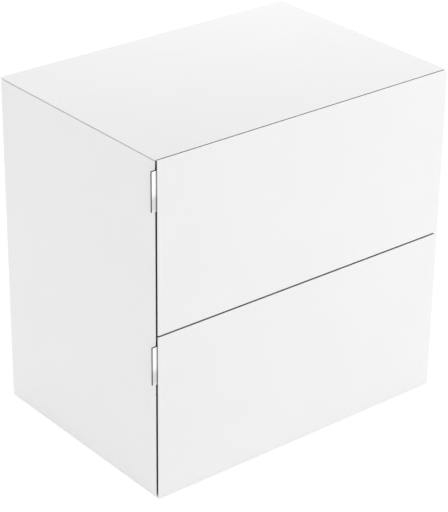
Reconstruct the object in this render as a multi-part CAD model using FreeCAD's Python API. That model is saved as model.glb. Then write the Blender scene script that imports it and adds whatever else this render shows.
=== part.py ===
"""White two-drawer sideboard cabinet with mitred panels and steel grip tabs at its left edge.

Millimetres, +Z up. The fronts face -Y and the drawers pull out that way. The origin is the middle of the
footprint, grip tabs included, at floor level. Each call of save() writes one sub-part to parts/.
"""

import FreeCAD, Part
import math
import os

from FreeCAD import Vector

# Cabinet
width = 600.0
depth = 420.0
height = 600.0
board = 19.0

# Edges of the panels: a straight land, then a 45 degree mitre with a blunted tip
land = 2.0
nose = 0.4
arris = 1.0
gap_arris = 0.5

# Gaps round the fronts, and the shadow groove under the top's edge; the grip tabs set the gap at the sides
top_gap = 3.0
front_gap = 3.1
groove_height = 1.0
groove_depth = 3.0

# Back panel, let into a rebate
back_board = 8.0
back_recess = 2.0
back_rebate = 10.0
back_clearance = 0.5
back_screws_per_edge = 3
back_screw_margin = 70.0

# Biscuits in the four mitred corners
biscuit_length = 53.0
biscuit_thickness = 4.0
biscuit_skin = 2.5
biscuit_inset = 8.6
biscuit_count = 3
biscuit_margin = 75.0
slot_clearance = 0.1

# Floor glides
glide_height = 3.0
glide_diameter = 30.0
glide_inset = 45.0
glide_edge = 0.8

# Drawer boxes, finger jointed from thin board
box_board = 12.0
box_arris = 2.0
box_floor_gap = 5.0
box_head_gap = 24.0
box_back_gap = 26.0
finger_height = 20.0
bottom_board = 6.0
bottom_rise = 8.0
bottom_groove = 6.0
bottom_clearance = 0.2

# Ball runners, three members on each side of a drawer, in the longest stock length that fits
runner_step = 50.0
runner_back_gap = 10.0
runner_height = 45.6
runner_thickness = 12.7
runner_rise = 60.0
runner_setback = 4.0
runner_sheet = 1.2
runner_bend = 0.5
web_gap = 1.0
cabinet_tip_gap = 3.7
middle_tip_gap = 2.1
drawer_tip_gap = 0.35
cabinet_lip = 2.4
middle_lip = 2.0
ball_diameter = 3.9
ball_play = 0.1
ball_seat = 0.05
balls_per_row = 6
cage_stop = 12.5
cage_sheet = 0.5
cage_rim = 0.9
cage_ball_gap = 0.6
runner_screw_margin = 35.0
runner_screws = 3
bumper_length = 6.0
bumper_height = 20.0
bumper_gap = 0.3

# Grip tabs: a folded steel plate that comes out through the side gap
tab_reach = 9.5
tab_height = 68.0
tab_drop = 16.3
tab_sheet = 2.0
tab_setback = 1.5
tab_clearance = 1.6
tab_bend = 1.0
tab_flange = 14.0
tab_corner = 1.0
tab_screw_pitch = 36.0
tab_screw_place = 9.0

# Screws, each with its head diameter, shank diameter and length
screw_clearance = 0.05
screw_rim = 0.3
pilot_spare = 1.0
drive_width = 2.4
drive_depth = 1.0
drive_arm = 0.7
back_screw = (6.6, 3.4, 22.0)
runner_case_screw = (6.2, 3.4, 14.0)
runner_box_screw = (6.2, 3.4, 10.5)
tab_screw = (5.6, 2.9, 9.0)
glide_screw = (6.2, 3.2, 14.0)
glide_screw_sink = 0.6
front_screw = (7.6, 3.8, 24.0)
front_screw_head = 2.4
front_screw_inset = 60.0
front_screw_rise = 45.0

# How far a cutting tool runs past the face it starts from
overshoot = 1.0

# Planes of the cabinet
left = -width / 2 + tab_reach / 2
right = left + width
middle = (left + right) / 2
front = -depth / 2
back = depth / 2
top = height
base = glide_height
inner_left = left + board
inner_right = right - board
mitre = board - land
front_inside = front + board
side_front = front + land + tab_setback + tab_sheet + tab_clearance
lid_front = front + land + top_gap
split = (base + top) / 2
back_inside = back - back_recess - back_board

X = Vector(1, 0, 0)
Y = Vector(0, 1, 0)
Z = Vector(0, 0, 1)


def box(x0, x1, y0, y1, z0, z1):
    """A block between two corners."""
    return Part.makeBox(x1 - x0, y1 - y0, z1 - z0, Vector(x0, y0, z0))


def prism(points, travel):
    """A closed outline of 3-D points, pushed along one vector."""
    return Part.Face(Part.makePolygon(points + [points[0]])).extrude(travel)


def along_x(outline, x0, x1):
    """An outline of (y, z) pairs, pushed from x0 to x1."""
    return prism([Vector(x0, y, z) for y, z in outline], X * (x1 - x0))


def along_y(outline, y0, y1):
    """An outline of (x, z) pairs, pushed from y0 to y1."""
    return prism([Vector(x, y0, z) for x, z in outline], Y * (y1 - y0))


def along_z(outline, z0, z1):
    """An outline of (x, y) pairs, pushed from z0 to z1."""
    return prism([Vector(x, y, z0) for x, y in outline], Z * (z1 - z0))


def other_side(shape):
    """The same shape on the other side of the cabinet's middle plane."""
    return shape.mirror(Vector(middle, 0, 0), X)


def group(shapes):
    """Separate solids that share one node."""
    return Part.makeCompound(shapes)


def spread(first, last, count):
    """Evenly spaced places from first to last."""
    return [first + (last - first) * i / (count - 1) for i in range(count)]


def edges_on(shape, **planes):
    """The edges with both ends on every plane given, such as x=0 and z=10."""
    def lies_on(point):
        return all(abs(getattr(point, axis) - at) < 1e-6 for axis, at in planes.items())
    return [e for e in shape.Edges if len(e.Vertexes) == 2 and all(lies_on(v.Point) for v in e.Vertexes)]


def rounded_face(corners, place):
    """A face from (u, v, radius) corners, each rounded by its radius; place(u, v) puts a point in space."""
    ends = []
    for i, (cu, cv, radius) in enumerate(corners):
        corner = Vector(cu, cv, 0)
        before = Vector(corners[i - 1][0], corners[i - 1][1], 0) - corner
        after = Vector(corners[(i + 1) % len(corners)][0], corners[(i + 1) % len(corners)][1], 0) - corner
        before.normalize()
        after.normalize()
        half = before.getAngle(after) / 2
        inward = before + after
        inward.normalize()
        cut = radius / math.tan(half)
        crown = corner + inward * (radius / math.sin(half) - radius)
        ends.append((corner + before * cut, crown, corner + after * cut, radius))
    edges = []
    for i, (start, crown, end, radius) in enumerate(ends):
        if radius > 0:
            edges.append(Part.Arc(*[place(p.x, p.y) for p in (start, crown, end)]).toShape())
        onward = ends[(i + 1) % len(ends)][0]
        if (onward - end).Length > 1e-6:
            edges.append(Part.LineSegment(place(end.x, end.y), place(onward.x, onward.y)).toShape())
    return Part.Face(Part.Wire(edges))


def folded_sheet(path, sheet, bend):
    """Corners of a sheet's section that follows a path of (u, v) points, with round bends."""
    points = [Vector(u, v, 0) for u, v in path]
    runs = [b - a for a, b in zip(points, points[1:])]
    for run in runs:
        run.normalize()
    normals = [Vector(-run.y, run.x, 0) for run in runs]
    left_side = [points[0] + normals[0] * (sheet / 2)]
    right_side = [points[0] - normals[0] * (sheet / 2)]
    left_radii = [0]
    right_radii = [0]
    for i in range(1, len(points) - 1):
        offset = (normals[i - 1] + normals[i]) * (sheet / 2 / (1 + normals[i - 1].dot(normals[i])))
        turns_left = runs[i - 1].cross(runs[i]).z > 0
        left_side.append(points[i] + offset)
        right_side.append(points[i] - offset)
        left_radii.append(bend if turns_left else bend + sheet)
        right_radii.append(bend + sheet if turns_left else bend)
    left_side.append(points[-1] + normals[-1] * (sheet / 2))
    right_side.append(points[-1] - normals[-1] * (sheet / 2))
    left_radii.append(0)
    right_radii.append(0)
    outline = [(p.x, p.y, r) for p, r in zip(left_side, left_radii)]
    return outline + [(p.x, p.y, r) for p, r in zip(reversed(right_side), reversed(right_radii))]


def turned(outline):
    """A solid turned round Z from an outline of (radius, z) pairs."""
    points = [Vector(r, 0, z) for r, z in outline]
    return Part.Face(Part.makePolygon(points + [points[0]])).revolve(Vector(0, 0, 0), Z, 360)


def countersunk_shape(head, shank, length):
    """A countersunk screw without its drive: head face at z = 0, point at z = -length."""
    neck = screw_rim + (head - shank) / 2
    return turned([(0, 0), (head / 2, 0), (head / 2, -screw_rim), (shank / 2, -neck),
                   (shank / 2, -length + shank / 2), (0, -length)])


def aim(shape, place, outward):
    """Moves a screw made round Z so that its head faces outward at a place."""
    shape = shape.copy()
    turn = FreeCAD.Rotation(Z, outward)
    shape.Placement = FreeCAD.Placement(place, turn)
    return shape


def cross_drive():
    """The cross-shaped recess in a screw's head."""
    long, short = drive_width / 2, drive_arm / 2
    return box(-long, long, -short, short, -drive_depth, overshoot).fuse(
        box(-short, short, -long, long, -drive_depth, overshoot))


def sunk_screws(size, places, outward):
    """Countersunk screws with their heads flush at each place, and the matching hole cutters."""
    head, shank, length = size
    screw = countersunk_shape(head, shank, length).cut(cross_drive())
    wider = 2 * screw_clearance
    hole = countersunk_shape(head + wider, shank + wider, length + pilot_spare)
    cutter = hole.fuse(Part.makeCylinder(head / 2 + screw_clearance, overshoot))
    return [aim(screw, p, outward) for p in places], [aim(cutter, p, outward) for p in places]


# Case panels

back_opening = box(left + board - back_rebate, right - board + back_rebate,
                   back_inside, back + overshoot,
                   base + board - back_rebate, top - board + back_rebate)


def lid():
    """The top panel: it laps over the sides, and its front edge is mitred behind the fronts."""
    across = [(left, top), (left, top - land), (left + mitre, top - board), (right - mitre, top - board),
              (right, top - land), (right, top)]
    along = [(lid_front, top), (lid_front, top - nose), (lid_front + mitre - nose, top - mitre),
             (lid_front + mitre - nose, top - board), (back, top - board), (back, top)]
    panel = along_y(across, lid_front, back).common(along_x(along, left, right))
    outer = edges_on(panel, x=left, z=top) + edges_on(panel, x=right, z=top) + edges_on(panel, y=back, z=top)
    panel = panel.makeFillet(arris, outer)
    return panel.cut(back_opening)


def floor_panel():
    """The bottom panel is the lid turned upside down."""
    return lid().mirror(Vector(0, 0, split), Z)


def side():
    """The left side panel, mitred against the lid and the floor, with a shadow groove at each end."""
    lip = top - land
    step = groove_height / 2
    half = [(left, lip - groove_height), (left + groove_depth, lip - groove_height - groove_depth),
            (left + groove_depth + step, lip - groove_depth - step), (left + mitre, top - board),
            (inner_left, top - board)]
    mirrored = [(x, 2 * split - z) for x, z in reversed(half)]
    edge = side_front + mitre - nose
    plan = [(left, side_front), (left, back), (inner_left, back), (inner_left, edge), (left + mitre, edge),
            (left + nose, side_front)]
    panel = along_y(half + mirrored, side_front, back).common(along_z(plan, base, top))
    panel = panel.makeFillet(arris, edges_on(panel, x=left, y=back))
    return panel.cut(back_opening)


def back_panel():
    """The back panel, lying in its rebate."""
    gap = back_clearance
    return box(left + board - back_rebate + gap, right - board + back_rebate - gap,
               back_inside, back - back_recess,
               base + board - back_rebate + gap, top - board + back_rebate - gap)


def back_screw_places():
    """Places along all four edges, over the middle of the rebate's shelf."""
    inset = board - back_rebate / 2
    y = back - back_recess
    heights = spread(base + back_screw_margin, top - back_screw_margin, back_screws_per_edge)
    widths = spread(left + back_screw_margin, right - back_screw_margin, back_screws_per_edge)
    places = [Vector(x, y, z) for x in (left + inset, right - inset) for z in heights]
    return places + [Vector(x, y, z) for x in widths for z in (base + inset, top - inset)]


def biscuits(clearance):
    """Biscuits across one top corner's mitre, each a lens between two round saw cuts."""
    seat = mitre * math.sqrt(2) - biscuit_inset
    half_width = seat - biscuit_thickness / 2 - biscuit_skin * math.sqrt(2)
    radius = (biscuit_length ** 2 / 4 + half_width ** 2) / (2 * half_width)
    thick = biscuit_thickness + 2 * clearance
    discs = [Part.makeCylinder(radius + clearance, thick, Vector(offset, 0, -thick / 2))
             for offset in (radius - half_width, half_width - radius)]
    lens = discs[0].common(discs[1])
    shapes = []
    for y in spread(lid_front + biscuit_margin, back - biscuit_margin, biscuit_count):
        place = Vector(left + seat / math.sqrt(2), y, top - land - seat / math.sqrt(2))
        shape = lens.copy()
        shape.Placement = FreeCAD.Placement(place, FreeCAD.Rotation(Y, -45))
        shapes.append(shape)
    return shapes


def all_biscuits(clearance):
    """Biscuits in the two top corners, then in the two bottom corners."""
    upper = biscuits(clearance)
    upper = upper + [other_side(s) for s in upper]
    return upper, [s.mirror(Vector(0, 0, split), Z) for s in upper]


# Fronts

lower_front_top = split - front_gap / 2
upper_front_base = split + front_gap / 2


def upper_front():
    """A drawer front, with a land and a mitre behind it on all four sides."""
    plan = [(left, front), (left, front + land), (left + mitre, front_inside), (right - mitre, front_inside),
            (right, front + land), (right, front)]
    profile = [(front, top), (front + land, top), (front_inside, top - mitre),
               (front_inside, upper_front_base + mitre), (front + land, upper_front_base), (front, upper_front_base)]
    panel = along_z(plan, upper_front_base, top).common(along_x(profile, left, right))
    sides = edges_on(panel, x=left, y=front) + edges_on(panel, x=right, y=front)
    panel = panel.makeFillet(arris, sides + edges_on(panel, y=front, z=top))
    return panel.makeFillet(gap_arris, edges_on(panel, y=front, z=upper_front_base))


# Grip tabs

def grip_tab(upper_edge):
    """A folded plate: the tab stands parallel to the front, its flange lies on the front's left mitre."""
    face = front + land + tab_setback
    centre = face + tab_sheet / 2
    fold = left + tab_setback + tab_sheet / 2 - tab_sheet / math.sqrt(2)
    run = tab_flange / math.sqrt(2)
    path = [(left - tab_reach, centre), (fold, centre), (fold + run, centre + run)]
    foot = upper_edge - tab_drop - tab_height
    section = rounded_face(folded_sheet(path, tab_sheet, tab_bend), lambda u, v: Vector(u, v, foot))
    plate = section.extrude(Z * tab_height)
    tip = left - tab_reach
    corners = edges_on(plate, x=tip, z=foot) + edges_on(plate, x=tip, z=foot + tab_height)
    return plate.makeFillet(tab_corner, corners)


def tab_screw_places(upper_edge):
    """Two places on the flange, one above the other."""
    along = tab_screw_place / math.sqrt(2)
    thickness = tab_sheet / math.sqrt(2)
    x = left + tab_setback + along - thickness
    y = front + land + tab_setback + along + thickness
    z = upper_edge - tab_drop - tab_height / 2
    return [Vector(x, y, z + s * tab_screw_pitch / 2) for s in (1, -1)]


# Runners

runner_front = side_front + mitre - nose + runner_setback
runner_length = runner_step * math.floor((back_inside - runner_back_gap - runner_front) / runner_step)
race = ball_diameter + 2 * ball_play
cabinet_v = (runner_height - runner_sheet) / 2
middle_v = cabinet_v - runner_sheet - race
drawer_v = middle_v - runner_sheet - race
outer_ball_v = (cabinet_v + middle_v) / 2
inner_ball_v = (middle_v + drawer_v) / 2
middle_web = 1.5 * runner_sheet + web_gap
drawer_web = runner_thickness - runner_sheet / 2
half_sheet = runner_sheet / 2
cabinet_tip = runner_thickness - cabinet_tip_gap - half_sheet
middle_tip = drawer_web - half_sheet - middle_tip_gap - half_sheet
outer_cage_web = runner_sheet + web_gap / 2
inner_cage_web = middle_web + runner_sheet
outer_ball_reach = (middle_web + middle_tip) / 2
inner_ball_reach = inner_cage_web + cage_sheet / 2 + cage_ball_gap + ball_diameter / 2
cage_length = runner_length / 2 - 2 * cage_stop


def channel(path, sheet, bend, length, start, level):
    """A channel along Y beside the left wall; u runs from the wall to the drawer, v up from its middle."""
    corners = folded_sheet(path, sheet, bend)
    return rounded_face(corners, lambda u, v: Vector(inner_left + u, start, level + v)).extrude(Y * length)


def mirrored_path(upper_half):
    """A symmetric path from its upper half, which runs down to the web."""
    return upper_half + [(u, -v) for u, v in reversed(upper_half)]


def cabinet_member(level):
    """The outer member, screwed to the case side."""
    lip = cabinet_v + half_sheet - cabinet_lip
    path = mirrored_path([(cabinet_tip, lip), (cabinet_tip, cabinet_v), (half_sheet, cabinet_v)])
    return channel(path, runner_sheet, runner_bend, runner_length, runner_front, level)


def middle_member(level):
    """The intermediate member, which runs half as far as the drawer."""
    lip = middle_v - half_sheet + middle_lip
    path = mirrored_path([(middle_tip, lip), (middle_tip, middle_v), (middle_web, middle_v)])
    length = runner_length - bumper_length - bumper_gap
    return channel(path, runner_sheet, runner_bend, length, runner_front, level)


def runner_bumper(level):
    """A moulded stop on the outer member's web, which the intermediate member meets when the drawer is shut."""
    end = runner_front + runner_length
    return box(inner_left + runner_sheet, inner_left + middle_web + half_sheet, end - bumper_length, end,
               level - bumper_height / 2, level + bumper_height / 2)


def drawer_member(level):
    """The inner member, screwed to the drawer's side."""
    tip = inner_cage_web + cage_sheet / 2 + drawer_tip_gap
    path = mirrored_path([(tip, drawer_v), (drawer_web, drawer_v)])
    return channel(path, runner_sheet, runner_bend, runner_length, runner_front, level)


def ball_cage(web, ball_reach, ball_v, level):
    """A thin cage with a row of balls above and one below, halfway along the members."""
    start = runner_front + (runner_length - cage_length) / 2
    path = mirrored_path([(ball_reach + ball_diameter / 2 + cage_rim, ball_v), (web, ball_v)])
    cage = channel(path, cage_sheet, cage_sheet, cage_length, start, level)
    pitch = cage_length / balls_per_row
    balls = []
    for y in spread(start + pitch / 2, start + cage_length - pitch / 2, balls_per_row):
        for v in (ball_v, -ball_v):
            place = Vector(inner_left + ball_reach, y, level + v)
            hole = Part.makeCylinder(ball_diameter / 2 + ball_seat, 4 * cage_sheet)
            cage = cage.cut(hole.translated(place - Z * 2 * cage_sheet))
            balls.append(Part.makeSphere(ball_diameter / 2, place))
    return group([cage] + balls)


def runner_screw_places(reach, level):
    """Places along a member's web."""
    ends = runner_front + runner_screw_margin, runner_front + runner_length - runner_screw_margin
    return [Vector(inner_left + reach, y, level) for y in spread(*ends, runner_screws)]


# Drawer boxes

box_left = inner_left + runner_thickness
box_right = inner_right - runner_thickness
box_back = back_inside - box_back_gap
box_rise = board + box_floor_gap
box_height = lower_front_top - base - box_rise - board - box_head_gap
finger_count = 2 * round(box_height / finger_height / 2) + 1


def finger_slots(first, foot):
    """Blocks at the box's four corners, every second finger's height, starting with number first."""
    tall = box_height / finger_count
    blocks = []
    for i in range(first, finger_count, 2):
        for x in (box_left, box_right - box_board):
            for y in (front_inside, box_back - box_board):
                blocks.append(box(x, x + box_board, y, y + box_board, foot + i * tall, foot + (i + 1) * tall))
    return blocks


def drawer_bottom(foot, groove_room):
    """The bottom board, or with room added above and round it the groove that takes it."""
    reach = bottom_groove - bottom_clearance + groove_room
    z = foot + bottom_rise
    return box(box_left + box_board - reach, box_right - box_board + reach,
               front_inside + box_board - reach, box_back - box_board + reach,
               z, z + bottom_board + groove_room)


def drawer_boards(foot):
    """The four walls of a drawer box, finger jointed at the corners and grooved for the bottom."""
    groove = drawer_bottom(foot, bottom_clearance)
    lid_z = foot + box_height
    wall = box(box_left, box_left + box_board, front_inside, box_back, foot, lid_z)
    near_end = box(box_left, box_right, front_inside, front_inside + box_board, foot, lid_z)
    far_end = box(box_left, box_right, box_back - box_board, box_back, foot, lid_z)
    wall = wall.makeFillet(box_arris, edges_on(wall, x=box_left, z=lid_z)
                           + edges_on(wall, x=box_left + box_board, z=lid_z))
    near_end = near_end.makeFillet(box_arris, edges_on(near_end, y=front_inside + box_board, z=lid_z))
    far_end = far_end.makeFillet(box_arris, edges_on(far_end, y=box_back, z=lid_z)
                                 + edges_on(far_end, y=box_back - box_board, z=lid_z))
    left_wall = wall.cut(finger_slots(1, foot)).cut(groove)
    return {
        "left_side": left_wall,
        "right_side": other_side(left_wall),
        "inner_front": near_end.cut(finger_slots(0, foot)).cut(groove),
        "back": far_end.cut(finger_slots(0, foot)).cut(groove),
    }


def front_screws(foot):
    """Pan-head screws through the inner front into the drawer front, and their holes."""
    head, shank, length = front_screw
    y = front_inside + box_board
    places = [Vector(x, y, z) for x in (box_left + front_screw_inset, box_right - front_screw_inset)
              for z in (foot + front_screw_rise, foot + box_height - front_screw_rise)]
    dome = front_screw_head
    screw = turned([(0, dome), (head / 4, dome), (head / 2, dome / 2), (head / 2, 0), (shank / 2, 0),
                    (shank / 2, -length + shank / 2), (0, -length)])
    screw = screw.cut(cross_drive().translated(Z * dome))
    depth_to_point = length + pilot_spare
    hole = Part.makeCylinder(shank / 2 + screw_clearance, depth_to_point + overshoot, -Z * depth_to_point)
    return [aim(screw, p, Y) for p in places], [aim(hole, p, Y) for p in places]


# Floor glides

def glides():
    """Round glides under the four corners, each with a sunk screw."""
    places = [Vector(x, y, 0) for x in (left + glide_inset, right - glide_inset)
              for y in (front + glide_inset, back - glide_inset)]
    disc = Part.makeCylinder(glide_diameter / 2, glide_height)
    disc = disc.makeFillet(glide_edge, [e for e in disc.Edges if e.BoundBox.ZMax < 1e-3])
    heads = [p + Z * glide_screw_sink for p in places]
    screws, holes = sunk_screws(glide_screw, heads, -Z)
    discs = [disc.translated(p).cut(hole) for p, hole in zip(places, holes)]
    return discs, screws, holes


def save(name, shape):
    """Writes one sub-part."""
    if not shape.isValid():
        raise ValueError(name + " is not a valid shape")
    shape.exportStep(os.path.join("parts", name + ".step"))
    print(name, len(shape.Solids), "solid(s)", round(shape.Volume / 1000, 2), "cm3")


def case():
    """Writes everything that stays still."""
    top_biscuits, bottom_biscuits = all_biscuits(0)
    top_slots, bottom_slots = all_biscuits(slot_clearance)
    back_screws, back_holes = sunk_screws(back_screw, back_screw_places(), Y)
    discs, glide_screws, glide_holes = glides()
    levels = [foot + runner_rise for foot in box_feet.values()]
    case_places = [p for level in levels for p in runner_screw_places(runner_sheet, level)]
    left_screws, left_holes = sunk_screws(runner_case_screw, case_places, X)
    left_panel = side()
    shelf_holes = back_holes + top_slots + bottom_slots
    save("top_panel", lid().cut(shelf_holes))
    save("bottom_panel", floor_panel().cut(shelf_holes + glide_holes))
    save("left_side_panel", left_panel.cut(shelf_holes + left_holes))
    save("right_side_panel", other_side(left_panel).cut(shelf_holes + [other_side(h) for h in left_holes]))
    save("back_panel", back_panel().cut(back_holes))
    save("top_corner_biscuits", group(top_biscuits))
    save("bottom_corner_biscuits", group(bottom_biscuits))
    save("back_panel_screws", group(back_screws))
    save("floor_glides", group(discs))
    save("floor_glide_screws", group(glide_screws))
    save("case_runner_screws", group(left_screws + [other_side(s) for s in left_screws]))
    bumpers = [runner_bumper(level) for level in levels]
    save("runner_bumpers", group(bumpers + [other_side(b) for b in bumpers]))
    for name, foot in box_feet.items():
        member = cabinet_member(foot + runner_rise).cut(left_holes)
        save(name + "_left_cabinet_runner", member)
        save(name + "_right_cabinet_runner", other_side(member))


def moving_runners(name, level):
    """Writes the intermediate members and the ball cages of one drawer's two runners."""
    pieces = {
        "intermediate_runner": middle_member(level),
        "outer_ball_cage": ball_cage(outer_cage_web, outer_ball_reach, outer_ball_v, level),
        "inner_ball_cage": ball_cage(inner_cage_web, inner_ball_reach, inner_ball_v, level),
    }
    for piece, shape in pieces.items():
        save(name + "_left_" + piece, shape)
        save(name + "_right_" + piece, other_side(shape))


def drawer(name, foot, panel, upper_edge):
    """Writes one drawer with its front, grip tab, box and inner runner members."""
    level = foot + runner_rise
    boards = drawer_boards(foot)
    outward = Vector(-1, 1, 0).normalize()
    tab_screws, tab_holes = sunk_screws(tab_screw, tab_screw_places(upper_edge), outward)
    fixing, fixing_holes = front_screws(foot)
    web_face = runner_thickness - runner_sheet
    screws, holes = sunk_screws(runner_box_screw, runner_screw_places(web_face, level), -X)
    member = drawer_member(level).cut(holes)
    save(name + "_drawer_front", panel.cut(tab_holes + fixing_holes))
    save(name + "_grip_tab", grip_tab(upper_edge).cut(tab_holes))
    save(name + "_grip_tab_screws", group(tab_screws))
    save(name + "_drawer_left_side", boards["left_side"].cut(holes))
    save(name + "_drawer_right_side", boards["right_side"].cut([other_side(h) for h in holes]))
    save(name + "_drawer_inner_front", boards["inner_front"].cut(fixing_holes))
    save(name + "_drawer_back", boards["back"])
    save(name + "_drawer_bottom", drawer_bottom(foot, 0))
    save(name + "_drawer_front_screws", group(fixing))
    save(name + "_left_drawer_runner", member)
    save(name + "_right_drawer_runner", other_side(member))
    save(name + "_drawer_runner_screws", group(screws + [other_side(s) for s in screws]))


box_feet = {"upper": upper_front_base + box_rise, "lower": base + box_rise}


def main():
    """Builds the whole cabinet."""
    os.makedirs("parts", exist_ok=True)
    case()
    for name, foot in box_feet.items():
        moving_runners(name, foot + runner_rise)
    panel = upper_front()
    drawer("upper", box_feet["upper"], panel, top)
    drawer("lower", box_feet["lower"], panel.mirror(Vector(0, 0, split), Z), lower_front_top)


main()
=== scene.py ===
"""A white two-drawer sideboard: satin lacquered boards, polished grip tabs and birch drawer boxes on ball runners.

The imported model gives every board, runner and tab its place. This script gives them their finishes, makes new
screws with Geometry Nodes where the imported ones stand, and sets up a plain studio with the photograph's camera.
"""

import logging
import math
from dataclasses import dataclass
from enum import Enum

import bmesh
import bpy
from bpy.types import Material, Node, NodeSocket, NodeTree, Object
from mathutils import Matrix, Vector


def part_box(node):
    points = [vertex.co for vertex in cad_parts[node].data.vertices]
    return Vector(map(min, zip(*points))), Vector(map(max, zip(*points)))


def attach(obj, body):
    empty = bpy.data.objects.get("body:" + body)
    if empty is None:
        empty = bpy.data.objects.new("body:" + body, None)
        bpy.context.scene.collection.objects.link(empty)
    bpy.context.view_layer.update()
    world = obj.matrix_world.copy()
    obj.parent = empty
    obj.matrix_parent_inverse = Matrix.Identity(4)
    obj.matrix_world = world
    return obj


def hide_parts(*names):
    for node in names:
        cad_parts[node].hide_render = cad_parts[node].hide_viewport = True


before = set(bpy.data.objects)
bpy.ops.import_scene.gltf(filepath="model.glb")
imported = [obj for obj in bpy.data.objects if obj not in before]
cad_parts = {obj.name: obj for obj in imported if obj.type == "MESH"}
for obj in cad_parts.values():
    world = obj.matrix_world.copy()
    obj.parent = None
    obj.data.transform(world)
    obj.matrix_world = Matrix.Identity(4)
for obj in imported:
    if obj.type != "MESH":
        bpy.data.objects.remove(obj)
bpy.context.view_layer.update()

LOG = logging.getLogger("sideboard")
MM = 0.001  # A millimetre, in Blender's metres.
MERGE_MM = 0.001  # Points nearer to each other than this are one.
THREAD_STEPS = 12  # Points along one turn of a screw's thread.
RIDGE_SIDES = 3  # Sides of the thread's ridge.
TURN_SEED = 7  # What gives each screw its own turn.
Links = dict[str | int, object]


class Axis(Enum):
    """A direction of the object: across, deep or upright."""

    X = 0
    Y = 1
    Z = 2

    @property
    def vector(self) -> Vector:
        """The unit vector along the axis."""
        return Vector([float(i == self.value) for i in range(3)])


class Level(Enum):
    """Which of the two drawers."""

    UPPER = "upper"
    LOWER = "lower"


class Hand(Enum):
    """A side of the sideboard, as seen from the front."""

    LEFT = "left"
    RIGHT = "right"


class Pick(Enum):
    """Which of several numbers is taken, by Blender's word for it."""

    LEAST = "MINIMUM"
    GREATEST = "MAXIMUM"


class Head(Enum):
    """How a screw's head is shaped."""

    COUNTERSUNK = "countersunk"
    PAN = "pan"


def linear(hex_colour: str) -> tuple[float, float, float, float]:
    """Turns an sRGB hex colour into Blender's linear colour.

    Args:
        hex_colour: A colour such as "#F2F2F2".

    Returns:
        Red, green, blue and an alpha of 1.
    """
    parts = [int(hex_colour[i : i + 2], 16) / 255 for i in (1, 3, 5)]
    red, green, blue = (c / 12.92 if c <= 0.04045 else ((c + 0.055) / 1.055) ** 2.4 for c in parts)
    return red, green, blue, 1.0


def add_node(tree: NodeTree, kind: str, settings: Links, inputs: Links) -> Node:
    """Adds a node with its settings and its inputs.

    Args:
        tree: The node tree that takes it.
        kind: Blender's name for the node.
        settings: Its properties, by name.
        inputs: A value or another node's output socket for each input, by the input's name or number.

    Returns:
        The node.
    """
    made = tree.nodes.new(kind)
    for name, value in settings.items():
        setattr(made, name, value)
    for key, value in inputs.items():
        if isinstance(value, NodeSocket):
            tree.links.new(value, made.inputs[key])
        else:
            made.inputs[key].default_value = value
    return made


def new_material(name: str) -> tuple[Material, NodeTree, NodeSocket]:
    """Starts an empty node material.

    Args:
        name: The finish's name.

    Returns:
        The material, its tree and the Surface socket of its output.
    """
    material = bpy.data.materials.new(name)
    material.use_nodes = True
    tree = material.node_tree
    tree.nodes.clear()
    return material, tree, add_node(tree, "ShaderNodeOutputMaterial", {}, {}).inputs["Surface"]


def object_place(tree: NodeTree, stretch: tuple[float, float, float]) -> NodeSocket:
    """Adds Object coordinates that are scaled along each axis.

    Args:
        tree: The material's tree.
        stretch: The factor on each axis, as pattern units to the metre.

    Returns:
        The scaled coordinates.
    """
    place = add_node(tree, "ShaderNodeTexCoord", {}, {}).outputs["Object"]
    return add_node(tree, "ShaderNodeMapping", {}, {"Vector": place, "Scale": stretch}).outputs["Vector"]


class Finish:
    """A finish of the sideboard: a name, and a pattern of nodes that feeds one shader."""

    name: str

    def pattern(self, tree: NodeTree) -> Links:
        """Adds the finish's own nodes.

        Args:
            tree: The material's tree.

        Returns:
            A value or an output socket for each of the shader's inputs, by the input's name.
        """
        raise NotImplementedError

    def build(self) -> Material:
        """Builds the material.

        Returns:
            The material, with its pattern on one shader.
        """
        material, tree, surface = new_material(self.name)
        shader = add_node(tree, "ShaderNodeBsdfPrincipled", {}, self.pattern(tree))
        tree.links.new(shader.outputs["BSDF"], surface)
        return material


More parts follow.
